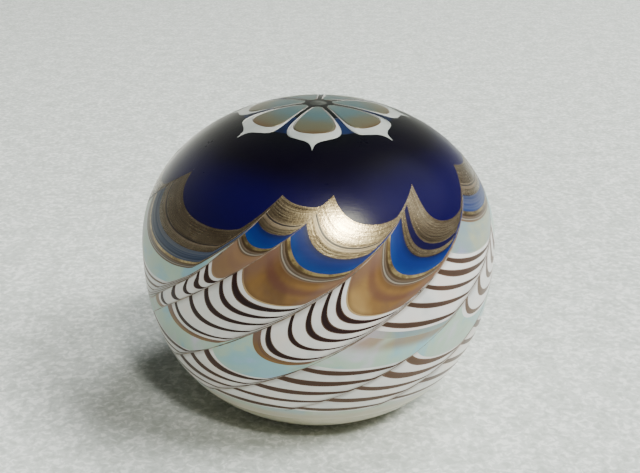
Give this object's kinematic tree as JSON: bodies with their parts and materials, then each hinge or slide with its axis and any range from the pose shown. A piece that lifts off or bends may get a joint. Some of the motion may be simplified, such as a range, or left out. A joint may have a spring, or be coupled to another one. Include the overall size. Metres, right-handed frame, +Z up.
{
  "type": "paperweight",
  "caption": "Round glass paperweight with a flat ground foot, a dark domed crown with a petal flower, and combed, twisted coloured bands round its side.",
  "frame": {"origin": "centre of the flat ring that the weight stands on", "axes": "+Z up through the crown; the pictured side faces -Y, with +X to its right"},
  "size_m": [0.076, 0.076, 0.0655],
  "materials": {
    "clear_crystal": "clear, ground and polished",
    "opal_white": "opaque white, satin",
    "cobalt": "deep cobalt, satin",
    "royal_blue": "royal blue, satin",
    "lustre": "bronze metallic lustre, satin with fine scratches",
    "gold": "gold metallic lustre, satin",
    "amber": "amber to caramel, satin",
    "manganese": "near-black brown, satin",
    "aqua": "pale aqua with a silvery lustre, satin",
    "heart": "teal to olive iridescent, satin"
  },
  "bodies": {
    "root": {"crystal_core": "clear_crystal", "foot": "clear_crystal", "opal_casing": "opal_white", "cobalt_dome": "cobalt", "lustre_band_upper": "lustre", "navy_thread": "cobalt", "lustre_band_lower": "lustre", "blue_band": "royal_blue", "gold_thread": "gold", "pale_thread": "opal_white", "amber_band": "amber", "caramel_thread": "amber", "aqua_band": "aqua", "aqua_foot_band": "aqua", "flower_centre": "manganese", "dark_thread_01": "manganese", "dark_thread_02": "manganese", "dark_thread_03": "manganese", "dark_thread_04": "manganese", "dark_thread_05": "manganese", "dark_thread_06": "manganese", "dark_thread_07": "manganese", "dark_thread_08": "manganese", "dark_thread_09": "manganese", "dark_thread_10": "manganese", "petal_1": "opal_white", "petal_heart_1": "heart", "petal_2": "opal_white", "petal_heart_2": "heart", "petal_3": "opal_white", "petal_heart_3": "heart", "petal_4": "opal_white", "petal_heart_4": "heart", "petal_5": "opal_white", "petal_heart_5": "heart", "petal_6": "opal_white", "petal_heart_6": "heart", "petal_7": "opal_white", "petal_heart_7": "heart"}
  },
  "joints": []
}
